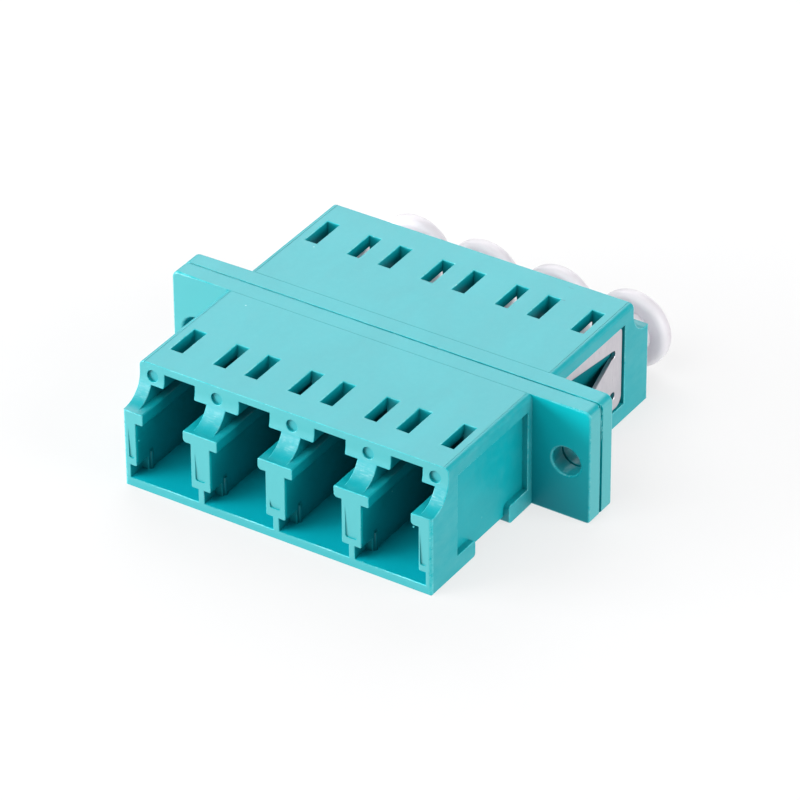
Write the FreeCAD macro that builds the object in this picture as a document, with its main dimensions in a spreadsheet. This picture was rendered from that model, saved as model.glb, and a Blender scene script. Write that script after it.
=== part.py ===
# Four-port fibre adapter with a panel flange.
# Two identical moulded halves meet at the plane y = 0. Four ferrule sleeves lie
# across the joint, a folded spring clip wraps the rear half, and a push-in dust
# cap closes each rear port.
#
# Frame: +X along the row of ports, +Y out of the capped ports, +Z up. The origin
# is the middle of the two panel screw holes, on the joint plane and at half height.
# Inside each body z is counted from the underside; its Placement moves it down.
import FreeCAD, Part
import os
import Sketcher

V = FreeCAD.Vector

doc = FreeCAD.newDocument("fibre_adapter")

# ---------------------------------------------------------------- dimensions
# name, value in millimetres, what it is
TABLE = [
    ("body_width", 25.5, "outside width of the body along the row"),
    ("body_height", 9.2, "outside height"),
    ("body_reach", 14.5, "joint plane to the end of the body"),
    ("top_reach", 12.3, "joint plane to the end of the top wall"),
    ("ledge_height", 6.3, "height of the ledge below the scooped end"),
    ("scoop_radius", 1.95, "radius of the scooped end"),
    ("edge_round", 0.4, "rounding of the long top edges"),
    ("corner_round", 0.12, "rounding of the small corners in the port mouths"),
    ("flange_width", 34.94, "flange length along the row"),
    ("flange_thick", 1.48, "thickness of one flange half"),
    ("flange_corner", 0.56, "radius of the flange's upper corners"),
    ("flange_foot", 0.3, "radius of the flange's lower corners"),
    ("seam_half", 0.07, "half the width of the seam groove"),
    ("seam_side", 0.15, "the same at the ends of the flange"),
    ("seam_depth", 0.2, "depth of the seam groove"),
    ("screw_spacing", 31.0, "distance between the panel screw holes"),
    ("screw_radius", 1.15, "panel screw hole radius"),
    ("port_pitch", 6.25, "distance between neighbouring ports"),
    ("port_axis", 3.08, "height of the ferrule axis"),
    ("floor_thick", 0.72, "port floor thickness"),
    ("stem_half", 0.8, "half the thickness of the wall between ports"),
    ("web_half", 0.24, "half the thickness of the web below it"),
    ("relief_height", 1.8, "top of the relief below the wall"),
    ("relief_reach", 1.45, "how far the relief runs in"),
    ("arm_half", 1.43, "half the width of the two guide rails"),
    ("arm_low", 5.38, "underside of the guide rails"),
    ("arm_high", 6.3, "top of the guide rails"),
    ("arm_round", 0.13, "rounding of the guide rails"),
    ("arm_foot", 0.28, "rounding below the rails on the right of each port"),
    ("shoulder_height", 7.5, "underside of the blocks beside the latch slot"),
    ("slot_half", 1.27, "half the width of the latch slot"),
    ("slot_roof", 8.22, "roof of the latch slot"),
    ("slot_mouth", 8.6, "roof of the latch slot at its mouth"),
    ("window_offset", 1.81, "latch window centre from the port centre"),
    ("window_width", 1.03, "latch window width"),
    ("window_start", 7.03, "latch window start from the joint plane"),
    ("window_length", 2.98, "latch window length"),
    ("wall_reach", 1.5, "half the thickness of the middle wall"),
    ("tube_reach", 4.15, "joint plane to the end of the sleeve tube"),
    ("tube_radius", 1.2, "sleeve tube radius"),
    ("seat_radius", 0.85, "sleeve seat radius"),
    ("seat_reach", 3.45, "joint plane to the end of the sleeve seat"),
    ("lip_radius", 0.68, "ferrule entry radius"),
    ("pin_radius", 0.46, "ejector pin mark radius"),
    ("pin_depth", 0.2, "ejector pin mark depth"),
    ("pin_height", 8.2, "ejector pin mark height"),
    ("pin_end", 11.65, "outer ejector pin mark from the middle"),
    ("bead_radius", 0.16, "radius of the small beads in the ports"),
    ("mark_depth", 0.12, "depth of the tool marks at their lower end"),
    ("line_depth", 0.03, "depth and width of the mould lines on the top"),
    ("line_inset", 0.46, "mould line from the side of the body"),
    ("recess_depth", 0.48, "depth of the clip seat in the side walls"),
    ("recess_start", 1.98, "clip seat start from the joint plane"),
    ("recess_end", 11.15, "clip seat end from the joint plane"),
    ("recess_top", 8.0, "clip seat top"),
    ("foot_high", 1.5, "top of the foot beside the flange"),
    ("foot_low", 1.34, "top of the outer foot"),
    ("foot_inner", 4.42, "end of the foot beside the flange"),
    ("foot_outer", 8.82, "start of the outer foot"),
    ("notch_height", 0.5, "height of the strap notch below the body"),
    ("foot_round", 0.3, "rounding of the feet"),
    ("sheet", 0.3, "clip sheet thickness"),
    ("clip_gap", 0.06, "clip clearance at the clip seat"),
    ("clip_start", 2.6, "clip arm start from the joint plane"),
    ("clip_end", 10.9, "clip arm end from the joint plane"),
    ("clip_top", 7.93, "top of the clip arms"),
    ("clip_low", 0.12, "underside of the clip strap"),
    ("strap_start", 4.68, "clip strap start"),
    ("strap_end", 8.72, "clip strap end"),
    ("finger_low", 3.03, "spring finger lower edge"),
    ("finger_high", 5.9, "spring finger upper edge"),
    ("finger_root", 9.5, "spring finger root from the joint plane"),
    ("finger_tip", 3.6, "spring finger tip from the joint plane"),
    ("finger_lift", 1.46, "how far the finger tip stands out"),
    ("slit_radius", 0.31, "radius of the slit ends beside the finger"),
    ("slit_end", 9.7, "centre of the slit ends from the joint plane"),
    ("cutout_start", 3.25, "clip cut-out start"),
    ("cutout_low", 2.05, "clip cut-out lower edge at its start"),
    ("cutout_high", 7.35, "clip cut-out upper edge at its start"),
    ("sleeve_inner", 0.625, "split sleeve inner radius"),
    ("sleeve_outer", 0.83, "split sleeve outer radius"),
    ("sleeve_length", 6.8, "split sleeve length"),
    ("sleeve_slit", 0.35, "split sleeve slit width"),
    ("cap_head_radius", 3.05, "dust cap head radius"),
    ("cap_head_start", 17.15, "joint plane to the near face of the head"),
    ("cap_head_thick", 1.3, "dust cap head thickness"),
    ("cap_plug", 3.9, "dust cap plug width and height"),
    ("cap_plug_start", 6.4, "square plug start"),
    ("cap_plug_end", 14.3, "square plug end"),
    ("cap_neck_radius", 1.85, "dust cap neck radius"),
    ("cap_nose_start", 2.6, "dust cap nose start"),
    ("cap_nose_radius", 2.0, "dust cap nose radius"),
    ("cap_bore_radius", 1.5, "dust cap bore radius"),
    ("cap_bore_end", 12.2, "dust cap bore end"),
    ("cap_dish_radius", 2.05, "radius of the dish in the head"),
    ("cap_dish_depth", 0.3, "depth of the dish in the head"),
    ("cap_out_1", 0.25, "how far the first cap stands out of its port"),
    ("cap_out_2", 0.02, "the same for the second cap"),
    ("cap_out_3", -0.08, "the same for the third cap"),
    ("cap_out_4", -0.04, "the same for the fourth cap"),
]

sheet = doc.addObject("Spreadsheet::Sheet", "spec")
sheet.Label = "spec"
for row, (name, value, note) in enumerate(TABLE, start=1):
    sheet.set("A%d" % row, name)
    sheet.set("B%d" % row, str(value))
    sheet.set("C%d" % row, note)
    sheet.setAlias("B%d" % row, name)
doc.recompute()


class Dim:
    """A value with the sheet expression that gives it."""

    def __init__(self, value, text=None):
        self.value = float(value)
        self.text = text if text is not None else repr(float(value))

    @staticmethod
    def of(other):
        return other if isinstance(other, Dim) else Dim(other)

    def __add__(self, other):
        o = Dim.of(other)
        return Dim(self.value + o.value, "(%s + %s)" % (self.text, o.text))

    def __sub__(self, other):
        o = Dim.of(other)
        return Dim(self.value - o.value, "(%s - %s)" % (self.text, o.text))

    def __mul__(self, other):
        o = Dim.of(other)
        return Dim(self.value * o.value, "(%s * %s)" % (self.text, o.text))

    def __truediv__(self, other):
        o = Dim.of(other)
        return Dim(self.value / o.value, "(%s / %s)" % (self.text, o.text))

    def __neg__(self):
        return Dim(-self.value, "(0 - %s)" % self.text)

    def __radd__(self, other):
        return Dim.of(other) + self

    def __rsub__(self, other):
        return Dim.of(other) - self

    def __rmul__(self, other):
        return Dim.of(other) * self


D = {name: Dim(value, "spec.%s" % name) for name, value, note in TABLE}
ZERO = Dim(0.0)


# ---------------------------------------------------------------- helpers
def origin(body, role):
    for item in body.Origin.OriginFeatures:
        if item.Role == role:
            return item
    raise RuntimeError("no " + role)


def new_body(label):
    body = doc.addObject("PartDesign::Body", label)
    body.Label = label
    return body


def new_sketch(body, name, role, offset=ZERO):
    """A sketch on one of the body's own planes, moved along its normal.
    XZ_Plane: x -> X, y -> Z, normal -Y.  YZ_Plane: x -> Y, y -> Z, normal +X.
    XY_Plane: x -> X, y -> Y, normal +Z."""
    sk = body.newObject("Sketcher::SketchObject", body.Label + "_" + name)
    sk.AttachmentSupport = [(origin(body, role), "")]
    sk.MapMode = "FlatFace"
    off = Dim.of(offset)
    sk.AttachmentOffset = FreeCAD.Placement(V(0, 0, off.value), FreeCAD.Rotation())
    sk.setExpression("AttachmentOffset.Base.z", off.text)
    return sk


def pin_point(sk, geo, pos, x, y):
    """Hold one sketch point at (x, y), each bound to the sheet."""
    for kind, dim, axis in (("DistanceX", Dim.of(x), -2), ("DistanceY", Dim.of(y), -1)):
        if abs(dim.value) < 1e-9:
            sk.addConstraint(Sketcher.Constraint("PointOnObject", geo, pos, axis))
        elif dim.value > 0:
            c = sk.addConstraint(Sketcher.Constraint(kind, -1, 1, geo, pos, dim.value))
            sk.setExpression("Constraints[%d]" % c, dim.text)
        else:
            c = sk.addConstraint(Sketcher.Constraint(kind, geo, pos, -1, 1, -dim.value))
            sk.setExpression("Constraints[%d]" % c, (-dim).text)


def polygon(sk, points):
    pts = [(Dim.of(x), Dim.of(y)) for x, y in points]
    n = len(pts)
    first = None
    for i in range(n):
        (x0, y0), (x1, y1) = pts[i], pts[(i + 1) % n]
        g = sk.addGeometry(Part.LineSegment(V(x0.value, y0.value, 0), V(x1.value, y1.value, 0)), False)
        if first is None:
            first = g
    for i in range(n):
        sk.addConstraint(Sketcher.Constraint("Coincident", first + i, 2, first + (i + 1) % n, 1))
    for i in range(n):
        pin_point(sk, first + i, 1, pts[i][0], pts[i][1])


def rectangle(sk, x0, x1, y0, y1):
    polygon(sk, [(x0, y0), (x1, y0), (x1, y1), (x0, y1)])


def circle(sk, x, y, r):
    x, y, r = Dim.of(x), Dim.of(y), Dim.of(r)
    g = sk.addGeometry(Part.Circle(V(x.value, y.value, 0), V(0, 0, 1), r.value), False)
    pin_point(sk, g, 3, x, y)
    c = sk.addConstraint(Sketcher.Constraint("Radius", g, r.value))
    sk.setExpression("Constraints[%d]" % c, r.text)


def extrude(body, kind, name, sk, length, back=False, both=False):
    """kind is Pad or Pocket. A Pad goes along the sketch normal and a Pocket
    against it, unless back is set. both centres it on the sketch."""
    before = body.Shape.Volume if body.Tip is not None and not body.Shape.isNull() else 0.0
    f = body.newObject("PartDesign::" + kind, body.Label + "_" + name)
    f.Profile = sk
    length = Dim.of(length)
    f.Length = length.value
    f.setExpression("Length", length.text)
    f.Reversed = back
    if both:
        f.SideType = "Symmetric"
    doc.recompute()
    after = body.Shape.Volume
    if kind == "Pad" and not after > before + 1e-6:
        raise RuntimeError("%s adds nothing" % f.Name)
    if kind == "Pocket" and not after < before - 1e-6:
        raise RuntimeError("%s cuts nothing" % f.Name)
    return f


def round_edges(body, name, radius, test, kind="Fillet"):
    """Round or bevel the edges of the body's tip that pass test(edge)."""
    base = body.Tip
    picked = ["Edge%d" % (i + 1) for i, e in enumerate(base.Shape.Edges) if test(e)]
    if not picked:
        raise RuntimeError("no edge for " + name)
    f = body.newObject("PartDesign::" + kind, body.Label + "_" + name)
    f.Base = (base, picked)
    radius = Dim.of(radius)
    prop = "Radius" if kind == "Fillet" else "Size"
    setattr(f, prop, radius.value)
    f.setExpression(prop, radius.text)
    doc.recompute()
    if not f.isValid() or f.Shape.isNull() or not f.Shape.isValid():
        raise RuntimeError("edges of %s failed" % name)
    return f


def near(a, b, tol=1e-3):
    return abs(a - b) < tol


def along(edge, axis, **at):
    """True for a straight edge along axis whose other coordinates match."""
    if len(edge.Vertexes) != 2 or edge.Curve.TypeId != "Part::GeomLine":
        return False
    a, b = edge.Vertexes[0].Point, edge.Vertexes[1].Point
    names = ("x", "y", "z")
    for i, n in enumerate(names):
        if n == axis:
            if near(a[i], b[i]):
                return False
        elif not near(a[i], b[i]):
            return False
    for n, want in at.items():
        i = names.index(n)
        if isinstance(want, tuple):
            if not (want[0] - 1e-3 <= min(a[i], b[i]) and max(a[i], b[i]) <= want[1] + 1e-3):
                return False
        elif not near(a[i], want):
            return False
    return True


def place(body, x=ZERO, y=ZERO, z=ZERO, turn=0.0):
    x, y, z = Dim.of(x), Dim.of(y), Dim.of(z)
    body.Placement = FreeCAD.Placement(V(x.value, y.value, z.value), FreeCAD.Rotation(V(0, 0, 1), turn))
    for key, dim in (("x", x), ("y", y), ("z", z)):
        body.setExpression("Placement.Base." + key, dim.text)


# ---------------------------------------------------------------- housing half
def build_housing(label, turn):
    """One moulded half. It is drawn with its ports opening towards -Y."""
    b = new_body(label)
    half = D["body_width"] / 2
    high = D["body_height"]
    x1 = -(D["port_pitch"] * 1.5)            # centre of the first port
    side = D["port_pitch"] / 2 - D["stem_half"]

    # solid block of the body, from the seam groove to the end
    sk = new_sketch(b, "block_sketch", "XZ_Plane", D["seam_half"])
    rectangle(sk, -half, half, ZERO, high)
    extrude(b, "Pad", "block", sk, D["body_reach"] - D["seam_half"])

    # flange half, full height of the body
    fw = D["flange_width"] / 2
    sk = new_sketch(b, "flange_sketch", "XZ_Plane", D["seam_half"])
    rectangle(sk, -fw, fw, ZERO, high)
    extrude(b, "Pad", "flange", sk, D["flange_thick"] - D["seam_half"])
    w = fw.value
    h = high.value
    round_edges(b, "flange_corners", D["flange_corner"],
                lambda e: any(along(e, "y", x=sx * w, z=h) for sx in (-1, 1)))
    round_edges(b, "flange_feet", D["flange_foot"],
                lambda e: any(along(e, "y", x=sx * w, z=0.0) for sx in (-1, 1)))

    # welded face, set in behind the seam groove, with its corners cut off
    sk = new_sketch(b, "seam_sketch", "XZ_Plane")
    wi, lo, hi = fw - D["seam_depth"], D["seam_depth"], high - D["seam_depth"]
    c, c2 = D["flange_corner"] * 0.75, D["flange_foot"] * 0.75
    polygon(sk, [(c2 - wi, lo), (wi - c2, lo), (wi, lo + c2), (wi, hi - c),
                 (wi - c, hi), (c - wi, hi), (-wi, hi - c), (-wi, lo + c2)])
    extrude(b, "Pad", "seam", sk, D["seam_half"] * 2)
    # the groove is wider at the two ends of the flange
    sk = new_sketch(b, "seam_side_sketch", "XY_Plane")
    for sign in (-1, 1):
        xa, xb = (fw - D["seam_depth"]) * sign, (fw + 1) * sign
        rectangle(sk, xa, xb, -D["seam_side"], ZERO)
    extrude(b, "Pocket", "seam_sides", sk, high, back=True)

    # scooped end: a step cut across the top with a large hollow radius
    sk = new_sketch(b, "scoop_sketch", "YZ_Plane")
    rectangle(sk, -(D["body_reach"] + 1), -D["top_reach"], D["ledge_height"], high + 1)
    extrude(b, "Pocket", "scoop", sk, D["body_width"] + 2, both=True)
    yt, zl = -D["top_reach"].value, D["ledge_height"].value
    round_edges(b, "scoop_round", D["scoop_radius"], lambda e: along(e, "x", y=yt, z=zl))

    # long top edges
    hw = half.value
    round_edges(b, "top_edges", D["edge_round"],
                lambda e: any(along(e, "y", x=sx * hw, z=h) for sx in (-1, 1)))

    # fine mould lines on the top: beside the rounded edges and at the flange
    sk = new_sketch(b, "line_sketch", "XY_Plane", high)
    ld, li = D["line_depth"], half - D["line_inset"]
    lo, ye = li + ld, -(D["body_reach"] + 1)
    polygon(sk, [(-lo, ye), (-lo, -D["flange_thick"]), (lo, -D["flange_thick"]), (lo, ye),
                 (li, ye), (li, -(D["flange_thick"] + ld)), (-li, -(D["flange_thick"] + ld)), (-li, ye)])
    extrude(b, "Pocket", "lines", sk, ld)

    # clip seats in both side walls, open at the bottom between the feet
    for sign, tag in ((1, "right"), (-1, "left")):
        plane = (half - D["recess_depth"]) * sign
        sk = new_sketch(b, "seat_" + tag + "_sketch", "YZ_Plane", plane)
        polygon(sk, [(-D["recess_start"], D["foot_high"]), (-D["recess_start"], D["recess_top"]),
                     (-D["recess_end"], D["recess_top"]), (-D["recess_end"], D["foot_low"]),
                     (-D["foot_outer"], D["foot_low"]), (-D["foot_outer"], Dim(-1)),
                     (-D["foot_inner"], Dim(-1)), (-D["foot_inner"], D["foot_high"])])
        extrude(b, "Pocket", "seat_" + tag, sk, 2.0, back=(sign > 0))

    # notch below the body for the clip strap
    sk = new_sketch(b, "notch_sketch", "XY_Plane")
    rectangle(sk, -(half + 1), half + 1, -D["foot_outer"], -D["foot_inner"])
    extrude(b, "Pocket", "notch", sk, D["notch_height"], back=True)
    fi, fo = -D["foot_inner"].value, -D["foot_outer"].value
    fh, fl = D["foot_high"].value, D["foot_low"].value
    round_edges(b, "feet", D["foot_round"],
                lambda e: along(e, "x", y=fi, z=fh) or along(e, "x", y=fo, z=fl)
                or along(e, "x", y=fi, z=0.0) or along(e, "x", y=fo, z=0.0))

    # panel screw holes
    sk = new_sketch(b, "screw_sketch", "XZ_Plane", D["flange_thick"])
    for sign in (-1, 1):
        circle(sk, D["screw_spacing"] / 2 * sign, high / 2, D["screw_radius"])
    extrude(b, "Pocket", "screw_holes", sk, D["flange_thick"] + 1)
    # the seam groove runs round inside them too
    sk = new_sketch(b, "screw_seam_sketch", "XZ_Plane")
    for sign in (-1, 1):
        circle(sk, D["screw_spacing"] / 2 * sign, high / 2, D["screw_radius"] + D["seam_depth"])
    extrude(b, "Pocket", "screw_seam", sk, D["seam_half"] * 1.3, back=True)

    # first port: plug cavity, gap between the rails, latch chamber and latch slot
    sk = new_sketch(b, "port_sketch", "XZ_Plane", D["body_reach"])
    gap = D["port_pitch"] / 2 - D["arm_half"]
    polygon(sk, [(x1 - side, D["floor_thick"]), (x1 + side, D["floor_thick"]),
                 (x1 + side, D["arm_low"]), (x1 + gap, D["arm_low"]),
                 (x1 + gap, D["arm_high"]), (x1 + side, D["arm_high"]),
                 (x1 + side, D["shoulder_height"]), (x1 + D["slot_half"], D["shoulder_height"]),
                 (x1 + D["slot_half"], D["slot_roof"]), (x1 - D["slot_half"], D["slot_roof"]),
                 (x1 - D["slot_half"], D["shoulder_height"]), (x1 - side, D["shoulder_height"]),
                 (x1 - side, D["arm_high"]), (x1 - gap, D["arm_high"]),
                 (x1 - gap, D["arm_low"]), (x1 - side, D["arm_low"])])
    port = extrude(b, "Pocket", "port", sk, D["body_reach"] - D["wall_reach"])

    # relief below the walls at the mouth
    sk = new_sketch(b, "relief_sketch", "XZ_Plane", D["body_reach"])
    under = D["port_pitch"] / 2 - D["web_half"]
    rectangle(sk, x1 - under, x1 + under, D["floor_thick"], D["relief_height"])
    relief = extrude(b, "Pocket", "relief", sk, D["relief_reach"])

    # sloping mouth of the latch slot
    sk = new_sketch(b, "mouth_sketch", "YZ_Plane", x1)
    polygon(sk, [(-(D["top_reach"] - 1.7), D["slot_roof"]), (-(D["top_reach"] + 0.2), D["slot_mouth"] + 0.045),
                 (-(D["top_reach"] + 0.2), D["slot_roof"] - 0.1), (-(D["top_reach"] - 1.7), D["slot_roof"] - 0.1)])
    mouth = extrude(b, "Pocket", "mouth", sk, D["slot_half"] * 2, both=True)

    # two latch windows through the top wall
    sk = new_sketch(b, "window_sketch", "XY_Plane", high)
    for sign in (-1, 1):
        c = x1 + D["window_offset"] * sign
        rectangle(sk, c - D["window_width"] / 2, c + D["window_width"] / 2,
                  -(D["window_start"] + D["window_length"]), -D["window_start"])
    window = extrude(b, "Pocket", "windows", sk, high - D["slot_roof"] + 0.3)

    # below the windows the latch slot is as wide as the port: the blocks beside
    # the slot stand only in front of and behind them
    sk = new_sketch(b, "latch_sketch", "YZ_Plane", x1)
    rectangle(sk, -(D["window_start"] + D["window_length"]), -D["window_start"],
              D["shoulder_height"] - 0.1, D["slot_roof"])
    latch = extrude(b, "Pocket", "latch_space", sk, side * 2, both=True)

    # small upright bead on each wall behind the relief
    sk = new_sketch(b, "bead_sketch", "XY_Plane", D["floor_thick"] - 0.1)
    for sign in (-1, 1):
        circle(sk, x1 + side * sign, -(D["body_reach"] - 1.8), D["bead_radius"])
    bead = extrude(b, "Pad", "beads", sk, 1.55)

    # sleeve tube with its seat and the ferrule entry
    sk = new_sketch(b, "tube_sketch", "XZ_Plane", D["wall_reach"] - 0.2)
    circle(sk, x1, D["port_axis"], D["tube_radius"])
    tube = extrude(b, "Pad", "tube", sk, D["tube_reach"] - D["wall_reach"] + 0.2)
    sk = new_sketch(b, "seat_bore_sketch", "XZ_Plane")
    circle(sk, x1, D["port_axis"], D["seat_radius"])
    seat = extrude(b, "Pocket", "seat_bore", sk, D["seat_reach"], back=True)
    sk = new_sketch(b, "entry_sketch", "XZ_Plane", D["tube_reach"])
    circle(sk, x1, D["port_axis"], D["lip_radius"])
    entry = extrude(b, "Pocket", "entry", sk, 1.0)

    # the same for all four ports
    before = b.Shape.Volume
    row = b.newObject("PartDesign::LinearPattern", b.Label + "_port_row")
    row.Originals = [port, relief, mouth, window, latch, bead, tube, seat, entry]
    row.Direction = (origin(b, "X_Axis"), [""])
    row.Length = (D["port_pitch"] * 3).value
    row.setExpression("Length", (D["port_pitch"] * 3).text)
    row.Occurrences = 4
    b.Tip = row
    doc.recompute()
    if not b.Shape.Volume < before - 100:
        raise RuntimeError("the row of ports is not cut")

    # ejector pin marks on the end of the top wall
    sk = new_sketch(b, "pin_sketch", "XZ_Plane", D["top_reach"] + 0.6)
    for c in (-D["pin_end"], -D["port_pitch"], ZERO, D["port_pitch"], D["pin_end"]):
        circle(sk, c, D["pin_height"], D["pin_radius"])
    extrude(b, "Pocket", "pin_marks", sk, D["pin_depth"] + 0.6)

    # wedge-shaped tool marks on the wall ends, deepest at their lower end
    ym = -D["body_reach"].value
    spots = []
    for n, (c, xa, xb, za, zb) in enumerate((
            (-D["port_pitch"], -0.44, 0.38, 2.48, 4.8),
            (ZERO, -0.47, 0.40, 2.5, 3.2),
            (D["port_pitch"], -0.50, 0.45, 2.38, 4.9),
            (half - 0.7, -0.24, 0.24, 2.3, 5.1),
            (-(half - 0.66), -0.24, 0.24, 2.4, 4.9))):
        mid = c + (xa + xb) / 2
        sk = new_sketch(b, "mark_sketch_%d" % n, "YZ_Plane", mid)
        polygon(sk, [(-(D["body_reach"] + 0.5), Dim(za)), (-(D["body_reach"] - D["mark_depth"]), Dim(za)),
                     (-D["body_reach"], Dim(zb)), (-(D["body_reach"] + 0.5), Dim(zb))])
        extrude(b, "Pocket", "mark_%d" % n, sk, xb - xa, both=True)
        spots += [(Dim.of(c).value + xa, za), (Dim.of(c).value + xb, za)]
    round_edges(b, "mark_corners", 0.16,
                lambda e: any(along(e, "y", x=x, z=z, y=(ym - 0.01, ym + 0.5)) for x, z in spots))

    # rail corners
    xs = []
    for k in range(4):
        c = x1.value + k * D["port_pitch"].value
        xs += [c - gap.value, c + gap.value]
    al, ah = D["arm_low"].value, D["arm_high"].value
    round_edges(b, "rail_feet", D["arm_foot"],
                lambda e: any(along(e, "y", x=x, z=al) for x in xs[1::2]))
    round_edges(b, "rails", D["arm_round"],
                lambda e: any(along(e, "y", x=x, z=ah) for x in xs)
                or any(along(e, "y", x=x, z=al) for x in xs[0::2]))

    # lower corners of the walls at the mouth, and of the blocks beside the slots
    feet, blocks = [], []
    for k in range(4):
        c = x1.value + k * D["port_pitch"].value
        feet += [c - side.value, c + side.value]
        blocks += [c - D["slot_half"].value, c + D["slot_half"].value]
    rz, bz = D["relief_height"].value, D["shoulder_height"].value
    round_edges(b, "wall_feet", D["corner_round"],
                lambda e: any(along(e, "y", x=x, z=rz, y=(ym, ym + 3.0)) for x in feet))
    round_edges(b, "block_corners", D["corner_round"],
                lambda e: any(along(e, "y", x=x, z=bz, y=(ym, -D["window_start"].value - 1.0)) for x in blocks))

    place(b, z=-(high / 2), turn=turn)
    return b


# ---------------------------------------------------------------- panel clip
def build_clip():
    """One folded spring sheet: a strap below the rear half and an arm up each
    side, each arm with a finger bent outward towards the flange."""
    b = new_body("panel_clip")
    xi = D["body_width"] / 2 - D["recess_depth"] + D["clip_gap"]
    xo = xi + D["sheet"]
    lo, hi = D["clip_low"], D["clip_top"]
    sk = new_sketch(b, "channel_sketch", "XZ_Plane", -D["clip_start"])
    polygon(sk, [(-xo, hi), (-xo, lo), (xo, lo), (xo, hi), (xi, hi),
                 (xi, lo + D["sheet"]), (-xi, lo + D["sheet"]), (-xi, hi)])
    extrude(b, "Pad", "channel", sk, D["clip_end"] - D["clip_start"], back=True)
    xov, xiv, lov, shv = xo.value, xi.value, lo.value, D["sheet"].value
    round_edges(b, "bend_outside", D["sheet"] + 0.13,
                lambda e: any(along(e, "y", x=s * xov, z=lov) for s in (-1, 1)))
    round_edges(b, "bend_inside", 0.13,
                lambda e: any(along(e, "y", x=s * xiv, z=lov + shv) for s in (-1, 1)))

    # outline: the strap is narrower than the arms
    sk = new_sketch(b, "outline_sketch", "YZ_Plane")
    rectangle(sk, D["clip_start"] - 1, D["strap_start"], Dim(-1), D["foot_high"] + 0.06)
    rectangle(sk, D["strap_end"], D["clip_end"] + 1, Dim(-1), D["foot_low"] + 0.14)
    extrude(b, "Pocket", "outline", sk, D["body_width"] + 2, both=True)

    # cut-out and slits around the finger
    sk = new_sketch(b, "cutout_sketch", "YZ_Plane")
    ye, r = D["slit_end"], D["slit_radius"]
    polygon(sk, [(D["cutout_start"], D["cutout_high"]), (D["cutout_start"], D["cutout_low"]),
                 (ye, D["finger_low"] - r * 2), (ye, D["finger_low"]),
                 (D["finger_root"], D["finger_low"]), (D["finger_root"], D["finger_high"]),
                 (ye, D["finger_high"]), (ye, D["finger_high"] + r * 2)])
    extrude(b, "Pocket", "cutout", sk, D["body_width"] + 2, both=True)
    sk = new_sketch(b, "slit_sketch", "YZ_Plane")
    circle(sk, ye, D["finger_low"] - r, r)
    circle(sk, ye, D["finger_high"] + r, r)
    extrude(b, "Pocket", "slit_ends", sk, D["body_width"] + 2, both=True)

    # rounded arm corners
    ce, cs, ht = D["clip_end"].value, D["clip_start"].value, hi.value
    flv = D["foot_low"].value + 0.14
    round_edges(b, "arm_corners", 0.35,
                lambda e: along(e, "x", y=ce, z=ht) or along(e, "x", y=cs, z=ht))
    round_edges(b, "arm_lower_corner", 0.8, lambda e: along(e, "x", y=ce, z=flv))

    # spring fingers
    sk = new_sketch(b, "finger_sketch", "XY_Plane", D["finger_low"])
    lift, root, tip = D["finger_lift"], D["finger_root"], D["finger_tip"]
    for s in (1, -1):
        polygon(sk, [(xi * s, root + 0.3), (xo * s, root + 0.3), (xo * s, root + 0.03),
                     ((xo + lift) * s, tip + 0.07), ((xi + lift) * s, tip), (xi * s, root - 0.04)])
    extrude(b, "Pad", "fingers", sk, D["finger_high"] - D["finger_low"])
    place(b, z=-(D["body_height"] / 2))
    return b


# ---------------------------------------------------------------- split sleeve
def build_sleeve(label, x):
    """Ceramic tube with one slit along it, centred on the joint plane."""
    b = new_body(label)
    sk = new_sketch(b, "ring_sketch", "XZ_Plane", -(D["sleeve_length"] / 2))
    circle(sk, ZERO, ZERO, D["sleeve_outer"])
    circle(sk, ZERO, ZERO, D["sleeve_inner"])
    extrude(b, "Pad", "ring", sk, D["sleeve_length"])
    sk = new_sketch(b, "slit_sketch", "XZ_Plane", -(D["sleeve_length"] / 2 + 1))
    rectangle(sk, -(D["sleeve_slit"] / 2), D["sleeve_slit"] / 2, Dim(0.3), Dim(1.2))
    extrude(b, "Pocket", "slit", sk, D["sleeve_length"] + 2, back=True)
    place(b, x=x, z=D["port_axis"] - D["body_height"] / 2)
    return b


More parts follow.
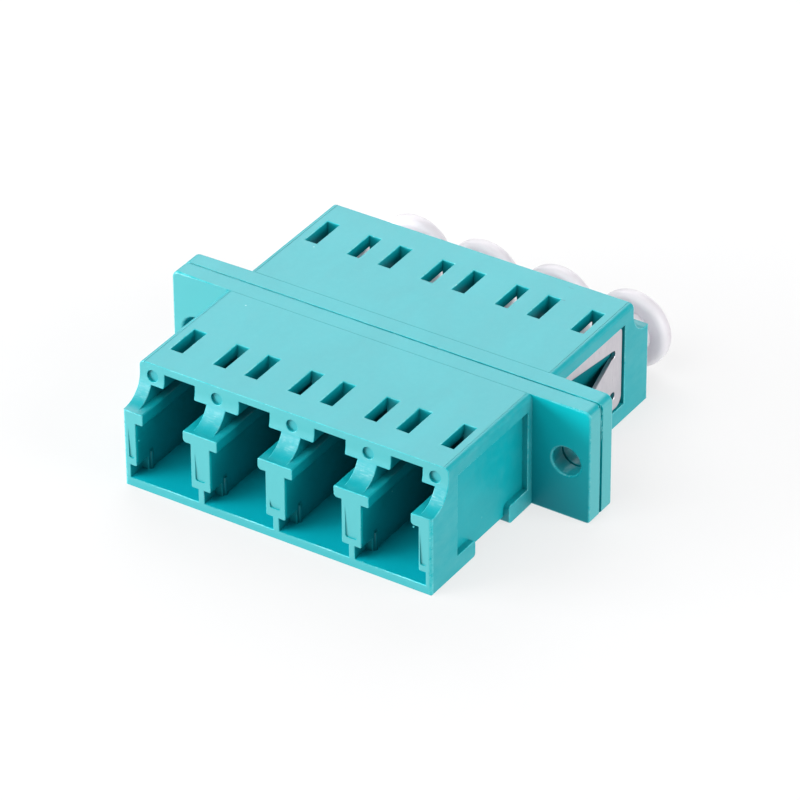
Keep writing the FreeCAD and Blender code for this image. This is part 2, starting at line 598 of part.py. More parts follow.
# ---------------------------------------------------------------- dust cap
def build_cap(label, x, out, lean):
    """Push-in cap: tubular nose over the sleeve tube, square plug that fills the
    port, round neck and a thick round head. It sits loosely, so it stands out a
    little and leans a little."""
    b = new_body(label)
    q = D["cap_plug"] / 2
    sk = new_sketch(b, "plug_sketch", "XZ_Plane", -D["cap_plug_start"])
    rectangle(sk, -q, q, -q, q)
    extrude(b, "Pad", "plug", sk, D["cap_plug_end"] - D["cap_plug_start"], back=True)
    qv = q.value
    round_edges(b, "plug_edges", 0.45,
                lambda e: any(along(e, "y", x=sx * qv, z=sz * qv) for sx in (-1, 1) for sz in (-1, 1)))
    sk = new_sketch(b, "nose_sketch", "XZ_Plane", -D["cap_nose_start"])
    circle(sk, ZERO, ZERO, D["cap_nose_radius"])
    extrude(b, "Pad", "nose", sk, D["cap_plug_start"] - D["cap_nose_start"] + 0.3, back=True)
    sk = new_sketch(b, "neck_sketch", "XZ_Plane", -(D["cap_plug_end"] - 0.3))
    circle(sk, ZERO, ZERO, D["cap_neck_radius"])
    extrude(b, "Pad", "neck", sk, D["cap_head_start"] - D["cap_plug_end"] + 0.6, back=True)
    sk = new_sketch(b, "head_sketch", "XZ_Plane", -D["cap_head_start"])
    circle(sk, ZERO, ZERO, D["cap_head_radius"])
    extrude(b, "Pad", "head", sk, D["cap_head_thick"], back=True)
    yh = D["cap_head_start"].value
    ye = yh + D["cap_head_thick"].value
    rh = D["cap_head_radius"].value

    def ring(e, y, r):
        return (e.Curve.TypeId == "Part::GeomCircle" and near(e.Curve.Radius, r)
                and near(e.Curve.Center.y, y))

    round_edges(b, "head_edge", 0.5, lambda e: ring(e, ye, rh) or ring(e, yh, rh))
    sk = new_sketch(b, "dish_sketch", "XZ_Plane", -(D["cap_head_start"] + D["cap_head_thick"]))
    circle(sk, ZERO, ZERO, D["cap_dish_radius"])
    extrude(b, "Pocket", "dish", sk, D["cap_dish_depth"], back=True)
    sk = new_sketch(b, "bore_sketch", "XZ_Plane", -D["cap_nose_start"])
    circle(sk, ZERO, ZERO, D["cap_bore_radius"])
    extrude(b, "Pocket", "bore", sk, D["cap_bore_end"] - D["cap_nose_start"])
    yn, rn = D["cap_nose_start"].value, D["cap_nose_radius"].value
    round_edges(b, "nose_bevel", 0.25, lambda e: ring(e, yn, rn), kind="Chamfer")
    place(b, x=x, y=out, z=D["port_axis"] - D["body_height"] / 2, turn=lean)
    return b


# ---------------------------------------------------------------- assembly
parts = [build_housing("housing_front", 0.0), build_housing("housing_rear", 180.0), build_clip()]
for k in range(4):
    parts.append(build_sleeve("sleeve_%d" % (k + 1), D["port_pitch"] * (k - 1.5)))
for k, lean in enumerate((-0.3, 0.0, -0.35, -0.6)):
    parts.append(build_cap("dust_cap_%d" % (k + 1), D["port_pitch"] * (k - 1.5),
                           D["cap_out_%d" % (k + 1)], lean))

doc.recompute()
for obj in doc.Objects:
    if "Invalid" in obj.State or "Error" in obj.State:
        raise RuntimeError("%s is %s" % (obj.Name, obj.State))
for obj in parts:
    if obj.Shape.isNull() or not obj.Shape.isValid():
        raise RuntimeError(obj.Label + " has no valid shape")
    if len(obj.Shape.Solids) != 1:
        raise RuntimeError(obj.Label + " is not one solid")

os.makedirs("parts", exist_ok=True)
for obj in parts:
    obj.Shape.exportStep("parts/%s.step" % obj.Label)
    bb = obj.Shape.BoundBox
    print("%-15s vol %8.2f  x %7.2f..%6.2f  y %7.2f..%6.2f  z %6.2f..%5.2f" % (
        obj.Label, obj.Shape.Volume, bb.XMin, bb.XMax, bb.YMin, bb.YMax, bb.ZMin, bb.ZMax))
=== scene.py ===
# Looks of the four-port fibre adapter: aqua moulded halves, a folded spring
# clip, ceramic sleeves and soft white dust caps, on a pale floor in soft light.
import math
import random

import bmesh
import bpy
from mathutils import Matrix, Vector


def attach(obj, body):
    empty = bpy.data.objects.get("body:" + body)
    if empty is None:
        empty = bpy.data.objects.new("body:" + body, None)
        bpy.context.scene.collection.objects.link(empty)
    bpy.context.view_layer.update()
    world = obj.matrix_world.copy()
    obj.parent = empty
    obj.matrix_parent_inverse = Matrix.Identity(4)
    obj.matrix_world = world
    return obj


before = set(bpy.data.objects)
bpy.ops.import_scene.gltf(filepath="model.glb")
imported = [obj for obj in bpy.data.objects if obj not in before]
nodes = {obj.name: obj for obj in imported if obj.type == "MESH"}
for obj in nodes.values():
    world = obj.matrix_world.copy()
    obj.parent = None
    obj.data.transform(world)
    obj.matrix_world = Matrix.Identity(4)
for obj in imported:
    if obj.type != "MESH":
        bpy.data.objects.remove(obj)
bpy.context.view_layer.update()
MM = 0.001
FLOOR = -4.61 * MM


# ------------------------------------------------------------------ node helpers
class Net:
    """Short hand for building a node tree."""

    def __init__(self, tree):
        self.t = tree

    def add(self, kind, **props):
        n = self.t.nodes.new(kind)
        for k, v in props.items():
            setattr(n, k, v)
        return n

    def link(self, a, b):
        self.t.links.new(a, b)

    def put(self, socket, value):
        if isinstance(value, bpy.types.NodeSocket):
            self.link(value, socket)
        else:
            socket.default_value = value

    def math(self, op, a, b=0.0, c=None, clamp=False):
        n = self.add("ShaderNodeMath", operation=op, use_clamp=clamp)
        self.put(n.inputs[0], a)
        self.put(n.inputs[1], b)
        if c is not None:
            self.put(n.inputs[2], c)
        return n.outputs[0]

    def mul(self, *values):
        out = values[0]
        for v in values[1:]:
            out = self.math("MULTIPLY", out, v)
        return out

    def scaled(self, vec, scale):
        n = self.add("ShaderNodeMapping")
        n.inputs["Scale"].default_value = scale
        self.link(vec, n.inputs["Vector"])
        return n.outputs["Vector"]

    def noise(self, vec, scale, detail=2.0, rough=0.5, distortion=0.0):
        n = self.add("ShaderNodeTexNoise")
        self.link(vec, n.inputs["Vector"])
        n.inputs["Scale"].default_value = scale
        n.inputs["Detail"].default_value = detail
        n.inputs["Roughness"].default_value = rough
        n.inputs["Distortion"].default_value = distortion
        return n.outputs["Fac"]

    def ramp(self, fac, lo, hi, a=0.0, b=1.0):
        n = self.add("ShaderNodeMapRange")
        self.put(n.inputs["Value"], fac)
        n.inputs["From Min"].default_value = lo
        n.inputs["From Max"].default_value = hi
        n.inputs["To Min"].default_value = a
        n.inputs["To Max"].default_value = b
        return n.outputs["Result"]

    def mix(self, fac, a, b):
        n = self.add("ShaderNodeMix", data_type="RGBA")
        self.put(n.inputs["Factor"], fac)
        for s, v in ((n.inputs["A"], a), (n.inputs["B"], b)):
            if isinstance(v, bpy.types.NodeSocket):
                self.link(v, s)
            else:
                s.default_value = (*v, 1.0)
        return n.outputs["Result"]

    def bump(self, height, strength, distance, normal=None):
        n = self.add("ShaderNodeBump")
        n.inputs["Strength"].default_value = strength
        n.inputs["Distance"].default_value = distance
        self.link(height, n.inputs["Height"])
        if normal is not None:
            self.link(normal, n.inputs["Normal"])
        return n.outputs["Normal"]


def material(name):
    """A new material with its Principled shader and the object coordinates in millimetres."""
    m = bpy.data.materials.new(name)
    m.use_nodes = True
    m.node_tree.nodes.clear()
    net = Net(m.node_tree)
    out = net.add("ShaderNodeOutputMaterial")
    bsdf = net.add("ShaderNodeBsdfPrincipled")
    net.link(bsdf.outputs[0], out.inputs[0])
    tc = net.add("ShaderNodeTexCoord")
    return m, net, bsdf, net.scaled(tc.outputs["Object"], (1000.0, 1000.0, 1000.0))


def lerp(a, b, f):
    return tuple(x + (y - x) * f for x, y in zip(a, b))


# ------------------------------------------------------------------ materials
GLOW = 0.71
AQUA = (0.001, 0.312, 0.354)
PALE = (0.27, 0.53, 0.55)


def aqua(name, edge=False, gloss=0.38):
    m, n, bsdf, v = material(name)
    # with edge set, for the bevel faces: a lighter, paler aqua, a painted highlight along the edges
    base = (0.010, 0.420, 0.465) if edge else AQUA
    pale = (0.12, 0.56, 0.59) if edge else lerp(base, PALE, 0.40)
    deep = tuple(c * (0.84 if edge else 0.93) for c in base)
    sep = n.add("ShaderNodeSeparateXYZ")
    n.link(v, sep.inputs[0])
    x, y, z = (n.math("ABSOLUTE", sep.outputs[0]), n.math("ABSOLUTE", sep.outputs[1]), sep.outputs[2])
    geo = n.add("ShaderNodeNewGeometry")
    nrm = n.add("ShaderNodeSeparateXYZ")
    n.link(geo.outputs["Normal"], nrm.inputs[0])
    # slow flow marks of the melt, drawn out along the direction of filling
    slow = n.noise(n.scaled(v, (0.22, 0.10, 0.30)), 1.0, 3.0, 0.55, 0.6)
    mid = n.noise(v, 1.6, 3.0, 0.6)
    fine = n.noise(v, 9.0, 2.0, 0.6)
    col = n.mix(n.ramp(slow, 0.35, 0.68), deep, base)
    col = n.mix(n.ramp(mid, 0.45, 0.80, 0.0, 0.55 if edge else 0.12), col, pale)
    col = n.mix(n.ramp(fine, 0.50, 0.85, 0.0, 0.45 if edge else 0.10), col, pale)
    if edge:
        # paler spots along the edges, partly chafing and partly a painted highlight broken into dashes
        chafe = n.noise(v, 3.4, 4.0, 0.75)
        col = n.mix(n.ramp(chafe, 0.56, 0.70, 0.0, 0.50), col, (0.36, 0.68, 0.70))
    # painted light: the end faces and the left ear are painted paler, as brightly lit faces look;
    # further on, the port walls get painted shade and the port floors painted light
    ny = nrm.outputs[1]
    lit_end_faces = n.mul(n.ramp(n.math("ABSOLUTE", ny), 0.90, 0.98), n.ramp(y, 12.05, 12.15),
                 n.math("MAXIMUM", n.ramp(y, 12.45, 12.40), n.ramp(y, 14.20, 14.30)), n.ramp(z, -4.30, -3.60, 0.45, 1.0))
    ear = n.mul(n.ramp(ny, -0.80, -0.95), n.ramp(sep.outputs[0], -12.70, -12.80), n.ramp(y, 2.2, 2.0))
    col = n.mix(n.math("MAXIMUM", lit_end_faces, ear), col, (0.062, 0.350, 0.374))
    # painted light: the outer ends of the flange are painted paler, as a brightly lit side looks
    painted_tip_light = n.mul(n.ramp(n.math("ABSOLUTE", nrm.outputs[0]), 0.70, 0.90), n.ramp(x, 17.20, 17.30))
    col = n.mix(n.mul(painted_tip_light, 0.75), col, (0.090, 0.385, 0.405))
    # painted shade: the right ear is painted darker low down and near the body, which shades it, and fuller high up and
    # outwards
    right_ear_shade = n.mul(n.ramp(ny, -0.80, -0.95), n.ramp(sep.outputs[0], 12.70, 12.80), n.ramp(y, 2.2, 2.0))
    rise = n.math("MULTIPLY_ADD", z, 0.085, n.math("MULTIPLY_ADD", x, 0.09, -0.86), clamp=True)
    col = n.mix(right_ear_shade, col, n.mix(rise, (0.0005, 0.205, 0.250), (0.001, 0.385, 0.425)))
    # painted shadow on the wall that the spring clip covers
    clip_shadow = n.mul(n.ramp(n.math("ABSOLUTE", nrm.outputs[0]), 0.80, 0.95), n.ramp(sep.outputs[1], 2.0, 2.4),
                   n.ramp(x, 12.40, 12.36), n.ramp(x, 12.16, 12.20))
    col = n.mix(n.mul(clip_shadow, 0.7), col, (0.0, 0.085, 0.105))
    # painted shade: the port walls are painted darker
    port_wall_shade = n.mul(n.ramp(n.math("ABSOLUTE", nrm.outputs[0]), 0.80, 0.95), n.ramp(x, 12.20, 12.10))
    col = n.mix(port_wall_shade, col, (0.001, 0.250, 0.288))
    # painted shade: the small beads in the ports are painted dark like the shaded port walls; painted highlight: the
    # steps round the tool marks are painted a lighter teal, so they read as light lines
    bead = n.mul(n.ramp(y, 12.45, 12.50), n.ramp(y, 12.98, 12.92), n.ramp(z, -2.15, -2.25), n.ramp(z, -4.10, -4.00),
                 n.ramp(nrm.outputs[2], 0.6, 0.4), n.ramp(x, 12.60, 12.50))
    col = n.mix(bead, col, (0.0005, 0.170, 0.200))
    step_highlight = n.mul(n.ramp(y, 14.25, 14.30), n.ramp(z, 0.60, 0.50), n.ramp(z, -2.50, -2.40), n.ramp(x, 12.45, 12.40),
                 n.ramp(n.math("ABSOLUTE", ny), 0.90, 0.80))
    col = n.mix(step_highlight, col, (0.001, 0.390, 0.430))
    # painted light: the port floors are painted lighter and fuller
    port_floor_light = n.mul(n.ramp(nrm.outputs[2], 0.80, 0.95), n.ramp(z, -3.60, -3.80))
    col = n.mix(port_floor_light, col, (0.001, 0.385, 0.462))
    # outer side walls, a little lighter in uneven patches
    side = n.mul(n.ramp(x, 12.62, 12.70), n.ramp(x, 13.2, 13.0), n.ramp(n.math("ABSOLUTE", nrm.outputs[0]), 0.85, 0.97))
    side_mottle = n.noise(n.scaled(v, (1.0, 0.35, 0.8)), 1.1, 4.0, 0.6)
    col = n.mix(n.mul(side, n.ramp(side_mottle, 0.3, 0.75, 0.02, 0.14)), col, PALE)
    # whitish streaky patches on the sloping parts of the scooped necks above the ledges
    lift = n.math("ABSOLUTE", nrm.outputs[2])
    neck = n.mul(n.ramp(y, 12.30, 12.75), n.ramp(y, 14.3, 13.7), n.ramp(z, 1.75, 2.3), n.ramp(z, 3.7, 2.9),
                 n.ramp(lift, 0.12, 0.45), n.ramp(lift, 0.98, 0.85))
    streak = n.noise(n.scaled(v, (0.9, 5.5, 7.0)), 1.6, 4.0, 0.70, 0.5)
    cloud = n.noise(v, 1.9, 2.0, 0.5)
    col = n.mix(n.mul(neck, n.ramp(streak, 0.46, 0.70, 0.05, 0.42), n.ramp(cloud, 0.38, 0.62)), col, (0.40, 0.62, 0.64))
    # a few small pale specks
    vor = n.add("ShaderNodeTexVoronoi", feature="F1")
    vor.inputs["Scale"].default_value = 0.42
    n.link(v, vor.inputs["Vector"])
    chance = n.add("ShaderNodeSeparateColor")
    n.link(vor.outputs["Color"], chance.inputs[0])
    speck = n.mul(n.ramp(vor.outputs["Distance"], 0.018, 0.032, 1.0, 0.0), n.ramp(chance.outputs[0], 0.45, 0.55))
    col = n.mix(n.mul(speck, 0.55), col, (0.50, 0.78, 0.80))
    # a scored line and a faint smear on the top, beside a rear window
    upper = n.ramp(z, 4.50, 4.56)
    for cx, cy, hx, hy, deep_by in ((8.22, 9.98, 0.28, 0.045, 0.75), (7.91, 11.66, 0.32, 0.06, 0.40)):
        dx = n.math("ABSOLUTE", n.math("SUBTRACT", sep.outputs[0], cx))
        dy = n.math("ABSOLUTE", n.math("SUBTRACT", n.math("MULTIPLY_ADD", mid, 0.25, sep.outputs[1]), cy + 0.125))
        col = n.mix(n.mul(upper, n.ramp(dx, hx, hx * 0.6), n.ramp(dy, hy, hy * 0.3), deep_by), col, (0.0, 0.12, 0.14))
    n.link(col, bsdf.inputs["Base Color"])
    rough = n.math("ADD", n.ramp(mid, 0.3, 0.7, 0.34, 0.42), n.ramp(fine, 0.3, 0.7, -0.03, 0.03))
    if edge:
        rough = n.ramp(mid, 0.3, 0.7, 0.24, 0.34)
    n.link(rough, bsdf.inputs["Roughness"])
    bsdf.inputs["IOR"].default_value = 1.5
    bsdf.inputs["Specular IOR Level"].default_value = gloss
    h = n.math("ADD", n.math("MULTIPLY", n.noise(v, 14.0, 3.0, 0.6), 0.5), mid)
    n.link(n.bump(h, 0.25, 0.00002), bsdf.inputs["Normal"])
    return m


def cap_plastic(name):
    m, n, bsdf, v = material(name)
    slow = n.noise(v, 0.35, 2.0, 0.5)
    fine = n.noise(v, 7.0, 3.0, 0.6)
    col = n.mix(n.ramp(slow, 0.3, 0.7), (0.470, 0.455, 0.480), (0.500, 0.484, 0.509))
    col = n.mix(n.ramp(fine, 0.5, 0.8, 0.0, 0.25), col, (0.415, 0.402, 0.428))
    # painted light: the head is painted lighter towards its side that faces the housing, which lies in shade, and
    # darker towards its outer side
    sep = n.add("ShaderNodeSeparateXYZ")
    n.link(v, sep.inputs[0])
    col = n.mix(n.ramp(sep.outputs[1], 17.9, 17.2, 0.0, 0.85), col, (0.665, 0.647, 0.675))
    col = n.mix(n.ramp(sep.outputs[1], 17.9, 18.4, 0.0, 0.6), col, (0.460, 0.446, 0.472))
    n.link(col, bsdf.inputs["Base Color"])
    n.link(n.ramp(fine, 0.3, 0.7, 0.36, 0.48), bsdf.inputs["Roughness"])
    bsdf.inputs["Subsurface Weight"].default_value = 0.85
    bsdf.inputs["Subsurface Radius"].default_value = (1.0, 0.95, 1.0)
    bsdf.inputs["Subsurface Scale"].default_value = 0.0022
    bsdf.inputs["IOR"].default_value = 1.50
    n.link(n.bump(n.noise(v, 5.0, 3.0, 0.6), 0.2, 0.00003), bsdf.inputs["Normal"])
    return m


def spring_steel(name):
    m, n, bsdf, v = material(name)
    # rolled sheet: fine lines along the strip, a few scratches and stains
    lines = n.noise(n.scaled(v, (1.0, 9.0, 0.9)), 1.4, 4.0, 0.65)
    blot = n.noise(v, 0.7, 3.0, 0.6)
    scratch = n.noise(n.scaled(v, (1.0, 14.0, 0.5)), 1.1, 2.0, 0.5, 0.3)
    col = n.mix(n.ramp(lines, 0.3, 0.7), (0.545, 0.520, 0.560), (0.640, 0.615, 0.650))
    col = n.mix(n.ramp(blot, 0.45, 0.75, 0.0, 0.5), col, (0.52, 0.505, 0.55))
    col = n.mix(n.ramp(scratch, 0.70, 0.76, 0.0, 0.5), col, (0.78, 0.76, 0.79))
    n.link(col, bsdf.inputs["Base Color"])
    bsdf.inputs["Metallic"].default_value = 1.0
    n.link(n.math("ADD", n.ramp(lines, 0.3, 0.7, 0.27, 0.38), n.ramp(blot, 0.4, 0.7, 0.0, 0.10)), bsdf.inputs["Roughness"])
    n.link(n.bump(lines, 0.15, 0.00002), bsdf.inputs["Normal"])
    return m


def zirconia(name):
    m, n, bsdf, v = material(name)
    g = n.noise(n.scaled(v, (1.0, 18.0, 1.0)), 1.2, 3.0, 0.6)
    n.link(n.mix(n.ramp(g, 0.3, 0.7), (0.80, 0.78, 0.72), (0.88, 0.87, 0.82)), bsdf.inputs["Base Color"])
    n.link(n.ramp(g, 0.3, 0.7, 0.18, 0.30), bsdf.inputs["Roughness"])
    bsdf.inputs["IOR"].default_value = 1.9
    n.link(n.bump(g, 0.1, 0.00001), bsdf.inputs["Normal"])
    return m


def floor_paper(name):
    m, n, bsdf, v = material(name)
    g = n.noise(v, 0.8, 4.0, 0.6)
    n.link(n.mix(n.ramp(g, 0.3, 0.7), (0.176, 0.176, 0.178), (0.181, 0.181, 0.183)), bsdf.inputs["Base Color"])
    n.link(n.ramp(g, 0.3, 0.7, 0.75, 0.85), bsdf.inputs["Roughness"])
    bsdf.inputs["Specular IOR Level"].default_value = 0.15
    # a light table: the paper is lit a little from below
    bsdf.inputs["Emission Color"].default_value = (1.0, 1.0, 1.0, 1.0)
    bsdf.inputs["Emission Strength"].default_value = GLOW
    n.link(n.bump(n.noise(v, 6.0, 4.0, 0.6), 0.1, 0.00002), bsdf.inputs["Normal"])
    return m


M_AQUA = aqua("aqua_moulded")
# bevel faces: lighter aqua, a painted highlight along the edges
M_EDGE_HIGHLIGHT = aqua("aqua_edge_highlight", edge=True)
M_WALL = aqua("aqua_drawn_wall", gloss=0.14)       # upright faces, drawn duller along the mould
M_CAP = cap_plastic("cap_soft_white")
M_STEEL = spring_steel("clip_rolled_steel")
M_ZIRC = zirconia("sleeve_ceramic")


# ------------------------------------------------------------------ edges of the moulded and pressed pieces
def weight_tree(name, least, base, rules, upright=None):
    """Node group that clears the imported normals and gives each convex sharp edge a
    bevel weight. rules is a list of (weight, [(axis, low, high), ...]) in mm, the
    last that holds being the one used; x and y are taken without their sign. Side walls,
    port floors and the right ear get the material given by upright."""
    g = bpy.data.node_groups.new(name, "GeometryNodeTree")
    g.interface.new_socket("Geometry", in_out="INPUT", socket_type="NodeSocketGeometry")
    g.interface.new_socket("Geometry", in_out="OUTPUT", socket_type="NodeSocketGeometry")
    n = Net(g)
    gi, go = n.add("NodeGroupInput"), n.add("NodeGroupOutput")
    rem = n.add("GeometryNodeRemoveAttribute")
    rem.inputs["Name"].default_value = "custom_normal"
    n.link(gi.outputs[0], rem.inputs["Geometry"])
    smooth = n.add("GeometryNodeSetShadeSmooth", domain="FACE")
    smooth.inputs["Shade Smooth"].default_value = True
    n.link(rem.outputs[0], smooth.inputs["Geometry"])
    ang = n.add("GeometryNodeInputMeshEdgeAngle")
    pos = n.add("GeometryNodeInputPosition")
    sep = n.add("ShaderNodeSeparateXYZ")
    n.link(pos.outputs[0], sep.inputs[0])
    axes = {"x": n.math("ABSOLUTE", sep.outputs[0]), "y": n.math("ABSOLUTE", sep.outputs[1]), "z": sep.outputs[2]}

    def gt(a, b):
        return n.math("GREATER_THAN", a, b)

    weight = base
    for value, tests in rules:
        inside = None
        for axis, lo, hi in tests:
            hit = n.mul(gt(axes[axis], lo * MM), gt(hi * MM, axes[axis]))
            inside = hit if inside is None else n.mul(inside, hit)
        weight = n.math("MULTIPLY_ADD", inside, n.math("SUBTRACT", value, weight), weight)
    weight = n.mul(gt(ang.outputs["Signed Angle"], least), weight)
    store = n.add("GeometryNodeStoreNamedAttribute", data_type="FLOAT", domain="EDGE")
    store.inputs["Name"].default_value = "bevel_weight_edge"
    n.link(smooth.outputs[0], store.inputs["Geometry"])
    n.link(weight, store.inputs["Value"])
    # concave corners stay crisp
    sharp = n.add("GeometryNodeSetShadeSmooth", domain="EDGE")
    sharp.inputs["Shade Smooth"].default_value = False
    sel = n.add("FunctionNodeCompare", data_type="FLOAT", operation="GREATER_THAN")
    n.link(ang.outputs["Unsigned Angle"], sel.inputs["A"])
    sel.inputs["B"].default_value = least
    n.link(sel.outputs[0], sharp.inputs["Selection"])
    n.link(store.outputs[0], sharp.inputs["Geometry"])
    last = sharp.outputs[0]
    if upright is not None:
        nrm = n.add("GeometryNodeInputNormal")
        part = n.add("ShaderNodeSeparateXYZ")
        n.link(nrm.outputs[0], part.inputs[0])
        side = gt(n.math("ABSOLUTE", part.outputs[0]), 0.9)
        ears = n.mul(gt(n.math("ABSOLUTE", part.outputs[1]), 0.9), gt(2.0 * MM, axes["y"]), gt(sep.outputs[0], 12.6 * MM))
        beds = n.mul(gt(part.outputs[2], 0.9), gt(-3.5 * MM, axes["z"]))
        flat = n.add("FunctionNodeCompare", data_type="FLOAT", operation="GREATER_THAN")
        n.link(n.math("ADD", n.math("ADD", side, ears), beds), flat.inputs["A"])
        flat.inputs["B"].default_value = 0.5
        use = n.add("GeometryNodeSetMaterial")
        use.inputs["Material"].default_value = upright
        n.link(last, use.inputs["Geometry"])
        n.link(flat.outputs[0], use.inputs["Selection"])
        last = use.outputs[0]
    n.link(last, go.inputs[0])
    return g


def dress(obj, tree, width, segments, mats, angle=1.0):
    """Welds the imported facets, joins flat ones, rounds the sharp edges a little and
    gives the piece its materials. The imported mesh itself stays as it is."""
    w = obj.modifiers.new("weld", "WELD")
    w.merge_threshold = 2e-7
    d = obj.modifiers.new("flat", "DECIMATE")
    d.decimate_type = "DISSOLVE"
    d.angle_limit = math.radians(angle)
    g = obj.modifiers.new("edges", "NODES")
    g.node_group = tree
    b = obj.modifiers.new("rounding", "BEVEL")
    b.limit_method = "WEIGHT"
    b.width = width
    b.segments = segments
    b.profile = 0.5
    b.use_clamp_overlap = False
    b.miter_outer = "MITER_SHARP"
    b.harden_normals = False
    b.loop_slide = False
    if len(mats) > 1:
        b.material = 1
    n = obj.modifiers.new("shading", "WEIGHTED_NORMAL")
    n.keep_sharp = True
    n.weight = 100
    obj.data.materials.clear()
    for m in mats:
        obj.data.materials.append(m)


LEAST = math.radians(50)
house_tree = weight_tree("edges_housing", LEAST, 0.2, [
    (0.50, [("x", 12.6, 18.0), ("y", 1.3, 1.6)]),                   # outline of the flange
    (0.10, [("y", -0.1, 0.2)]),                                     # seam groove
    (0.0, [("x", 12.27, 12.35), ("z", 4.5, 4.7)]),                  # mould lines
    (0.0, [("x", -0.1, 12.4), ("y", 1.46, 1.53), ("z", 4.5, 4.7)]),
    (0.10, [("x", -0.1, 0.5), ("y", 12.15, 12.45), ("z", 3.0, 4.2)]),   # rims of the pin marks
    (0.10, [("x", 5.75, 6.75), ("y", 12.15, 12.45), ("z", 3.0, 4.2)]),
    (0.10, [("x", 11.15, 12.15), ("y", 12.15, 12.45), ("z", 3.0, 4.2)]),
    (0.0, [("x", -0.1, 0.55), ("y", 14.3, 14.6), ("z", -2.4, 0.55)]),   # tool marks
    (0.0, [("x", 5.68, 6.80), ("y", 14.3, 14.6), ("z", -2.4, 0.55)]),
    (0.0, [("x", 11.75, 12.40), ("y", 14.3, 14.6), ("z", -2.4, 0.55)]),
    (0.0, [("y", 12.45, 12.95), ("z", -4.1, -2.2)]),                    # small beads in the ports
    (0.8, [("x", 12.70, 12.80), ("y", 14.45, 14.55), ("z", -2.5, 0.5)]),    # upright corners of the body
], M_WALL)
plain_tree = weight_tree("edges_plain", LEAST, 1.0, [])

for name in ("housing_front", "housing_rear"):
    dress(nodes[name], house_tree, 0.30 * MM, 3, [M_AQUA, M_EDGE_HIGHLIGHT, M_WALL])
dress(nodes["panel_clip"], plain_tree, 0.03 * MM, 2, [M_STEEL])
for k in range(1, 5):
    dress(nodes["sleeve_%d" % k], plain_tree, 0.03 * MM, 2, [M_ZIRC])
    dress(nodes["dust_cap_%d" % k], plain_tree, 0.12 * MM, 3, [M_CAP])


# ------------------------------------------------------------------ small moulding flaws
def piece(name, bm, mat):
    me = bpy.data.meshes.new(name)
    bm.normal_update()
    bm.to_mesh(me)
    bm.free()
    for p in me.polygons:
        p.use_smooth = True
    me.materials.append(mat)
    o = bpy.data.objects.new(name, me)
    bpy.context.scene.collection.objects.link(o)
    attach(o, "housing")
    return o


def lump(bm, centre, half, rng, rough=0.22):
    """A small uneven bead of flash, half sunk in the surface it sits on."""
    made = bmesh.ops.create_icosphere(bm, subdivisions=3, radius=1.0)
    shift = [rng.uniform(-1, 1) for _ in range(6)]
    for vert in made["verts"]:
        c = vert.co.normalized()
        w = 1 + rough * (math.sin(3.1 * c.x + 5 * shift[0]) * math.cos(2.7 * c.y + 5 * shift[1])
                         + 0.6 * math.sin(5.3 * c.z + 5 * shift[2]) * math.cos(4.1 * c.x + 5 * shift[3]))
        at = [centre[i] + c[i] * half[i] * w for i in range(3)]
        at[0], at[1] = min(at[0], 17.466), max(at[1], -14.496)
        vert.co = Vector(at) * MM


def flash_ribbon(bm, path, width, rng):
    """A thin wavy skin of flash along a path. Each point of the path is (place, out,
    across): out points away from the surface, across over the seam."""
    rows = []
    for i, (place, out, across) in enumerate(path):
        f = i / (len(path) - 1)
        swell = math.sin(math.pi * f) ** 0.5
        w = width * swell * (0.55 + 0.45 * math.sin(17 * f + 2.0) * math.sin(41 * f)) + 0.004
        h = 0.045 * swell * (0.6 + 0.4 * rng.random())
        p, o, a = Vector(place), Vector(out), Vector(across)
        rows.append([bm.verts.new((p + a * s * w + o * t) * MM) for s, t in
                     ((-1.0, -0.05), (-0.7, h * 0.7), (0.0, h), (0.7, h * 0.75), (1.0, -0.05))])
    for a, b in zip(rows, rows[1:]):
        for k in range(5):
            bm.faces.new((a[k], a[(k + 1) % 5], b[(k + 1) % 5], b[k]))
    bm.faces.new(rows[0][::-1])
    bm.faces.new(rows[-1])
    bmesh.ops.recalc_face_normals(bm, faces=bm.faces)


rng = random.Random(11)
bm = bmesh.new()
# lip of flash down the right end of the flange, in the groove between the halves
flash_ribbon(bm, [((17.408, 0.075 + 0.03 * math.sin(11 * t), 4.12 - 2.6 * t), (1, 0, 0), (0, 1, 0))
                  for t in [i / 56 for i in range(57)]], 0.105, rng)
# and on its upper edge
flash_ribbon(bm, [((16.55 - 1.3 * t, 0.05 + 0.02 * math.sin(8 * t), 4.515), (0, 0, 1), (0, 1, 0))
                  for t in [i / 26 for i in range(27)]], 0.05, rng)
# the flash takes the lighter aqua of the edges, a painted highlight
piece("seam_flash", bm, M_EDGE_HIGHLIGHT)

# squeezed-out melt that nearly fills the seam groove along the top
bm = bmesh.new()
rows = []
for i in range(221):
    f = i / 220
    px = -17.0 + 33.6 * f
    top = 4.566 - 0.060 * f + 0.018 * math.sin(2.3 * px) * math.sin(0.9 * px + 1) + rng.uniform(-0.006, 0.006)
    wide = 0.066 + rng.uniform(-0.003, 0.002)
    rows.append([bm.verts.new(Vector(c) * MM) for c in
                 ((px, -wide, 4.38), (px, -wide, top - 0.02), (px, -wide * 0.5, top), (px, wide * 0.5, top - 0.004),
                  (px, wide, top - 0.024), (px, wide, 4.38))])
for a, b in zip(rows, rows[1:]):
    for k in range(6):
        bm.faces.new((a[k], a[(k + 1) % 6], b[(k + 1) % 6], b[k]))
bm.faces.new(rows[0][::-1])
bm.faces.new(rows[-1])
bmesh.ops.recalc_face_normals(bm, faces=bm.faces)
piece("seam_bead", bm, M_AQUA)

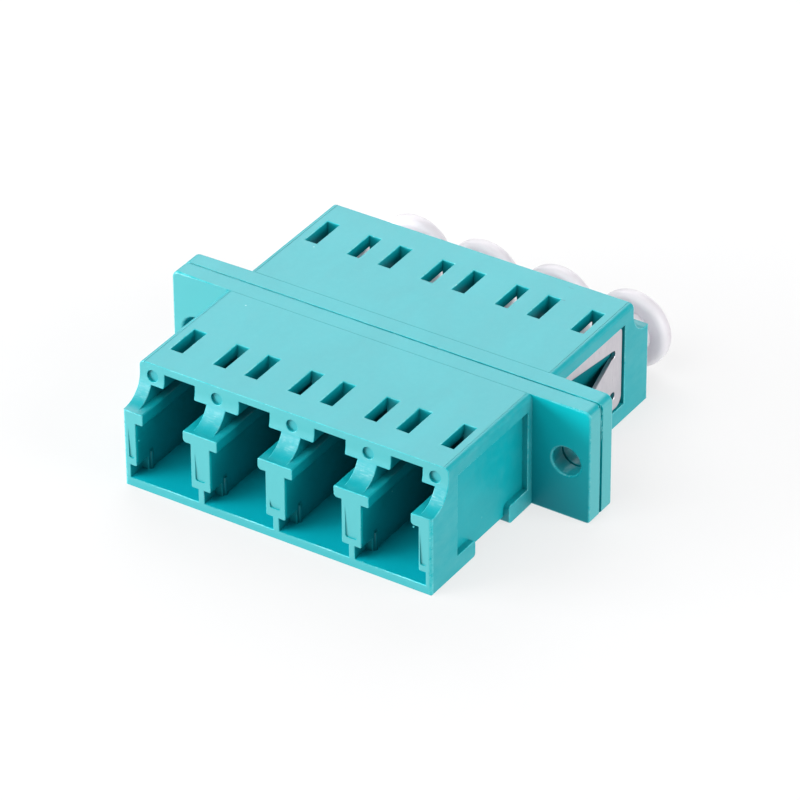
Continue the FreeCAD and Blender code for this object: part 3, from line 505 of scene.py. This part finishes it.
bm = bmesh.new()
for centre, half in (
        ((3.31, -14.47, -3.86), (0.16, 0.03, 0.035)), ((7.18, -14.47, -3.86), (0.10, 0.03, 0.04)),
        ((9.01, -14.47, -3.86), (0.06, 0.03, 0.03)), ((-8.9, -14.46, -3.86), (0.12, 0.03, 0.03)),
        ((-11.80, -14.46, 1.66), (0.06, 0.04, 0.05)), ((-11.45, -14.46, -0.52), (0.03, 0.03, 0.05)),
        ((11.28, -14.42, 0.60), (0.08, 0.05, 0.08)), ((11.72, -14.44, 0.30), (0.04, 0.03, 0.09)),
        ((12.735, -13.52, -2.05), (0.012, 0.035, 0.16)), ((12.275, -7.29, -2.45), (0.015, 0.06, 0.06)),
        ((17.44, -1.19, -0.56), (0.02, 0.03, 0.11)), ((17.44, -1.17, -1.32), (0.02, 0.03, 0.07)),
        ((17.37, -1.44, 3.80), (0.06, 0.03, 0.05)), ((17.44, 0.88, -1.88), (0.02, 0.03, 0.05))):
    lump(bm, centre, half, rng)
# the nibs take the lighter aqua of the edges, a painted highlight
piece("mould_nibs", bm, M_EDGE_HIGHLIGHT)


# ------------------------------------------------------------------ floor
def plane(name, size, mat):
    me = bpy.data.meshes.new(name)
    bm = bmesh.new()
    bmesh.ops.create_grid(bm, x_segments=2, y_segments=2, size=size)
    bm.to_mesh(me)
    bm.free()
    me.materials.append(mat)
    o = bpy.data.objects.new(name, me)
    bpy.context.scene.collection.objects.link(o)
    return o


floor = plane("floor", 3.0, floor_paper("floor_paper"))
floor.location = (0, 0, FLOOR)

# ------------------------------------------------------------------ light
WORLD = 0.15
world = bpy.data.worlds.new("studio")
bpy.context.scene.world = world
world.use_nodes = True
bg = world.node_tree.nodes["Background"]
bg.inputs[0].default_value = (1.0, 1.0, 1.0, 1.0)
bg.inputs[1].default_value = WORLD


def softbox(name, size, direction, distance, radiance):
    l = bpy.data.lights.new(name, "AREA")
    l.shape = "RECTANGLE"
    l.size, l.size_y = size
    l.energy = radiance * math.pi * size[0] * size[1]
    o = bpy.data.objects.new(name, l)
    bpy.context.scene.collection.objects.link(o)
    d = Vector(direction).normalized()
    o.location = d * distance
    o.rotation_mode = "QUATERNION"
    o.rotation_quaternion = d.to_track_quat("Z", "Y")
    return o


for args in (
        ("back", (0.50, 0.30), (-0.45, 0.70, 0.55), 0.50, 4.1),
        ("front_left", (0.30, 0.30), (-0.80, -0.60, 0.55), 0.45, 1.5),
        ("front_top", (0.30, 0.30), (-0.20, -0.60, 0.90), 0.45, 4.3),
        ("left_low", (0.30, 0.18), (-0.75, -0.65, 0.20), 0.45, 16.5),
        ("right", (0.30, 0.30), (1.0, 0.15, 0.45), 0.45, 6.6),
        ("rear", (0.30, 0.14), (0.40, 1.0, 0.12), 0.45, 0.9)):
    softbox(*args)

# ------------------------------------------------------------------ camera
cam = bpy.data.cameras.new("camera")
cam.sensor_width = 36.0
cam.lens = 243.88857
cam.clip_start = 0.01
cam.clip_end = 20.0
eye = bpy.data.objects.new("camera", cam)
bpy.context.scene.collection.objects.link(eye)
right = Vector((0.84183269, 0.53970968, -0.00558358))
ahead = Vector((-0.45203354, 0.69934824, -0.55369461))
down = ahead.cross(right)
turn = Matrix((right, -down, -ahead)).transposed()
eye.matrix_world = Matrix.Translation((0.1740827, -0.2679011, 0.2112383)) @ turn.to_4x4()
bpy.context.scene.camera = eye
bpy.context.scene.view_settings.view_transform = "Standard"
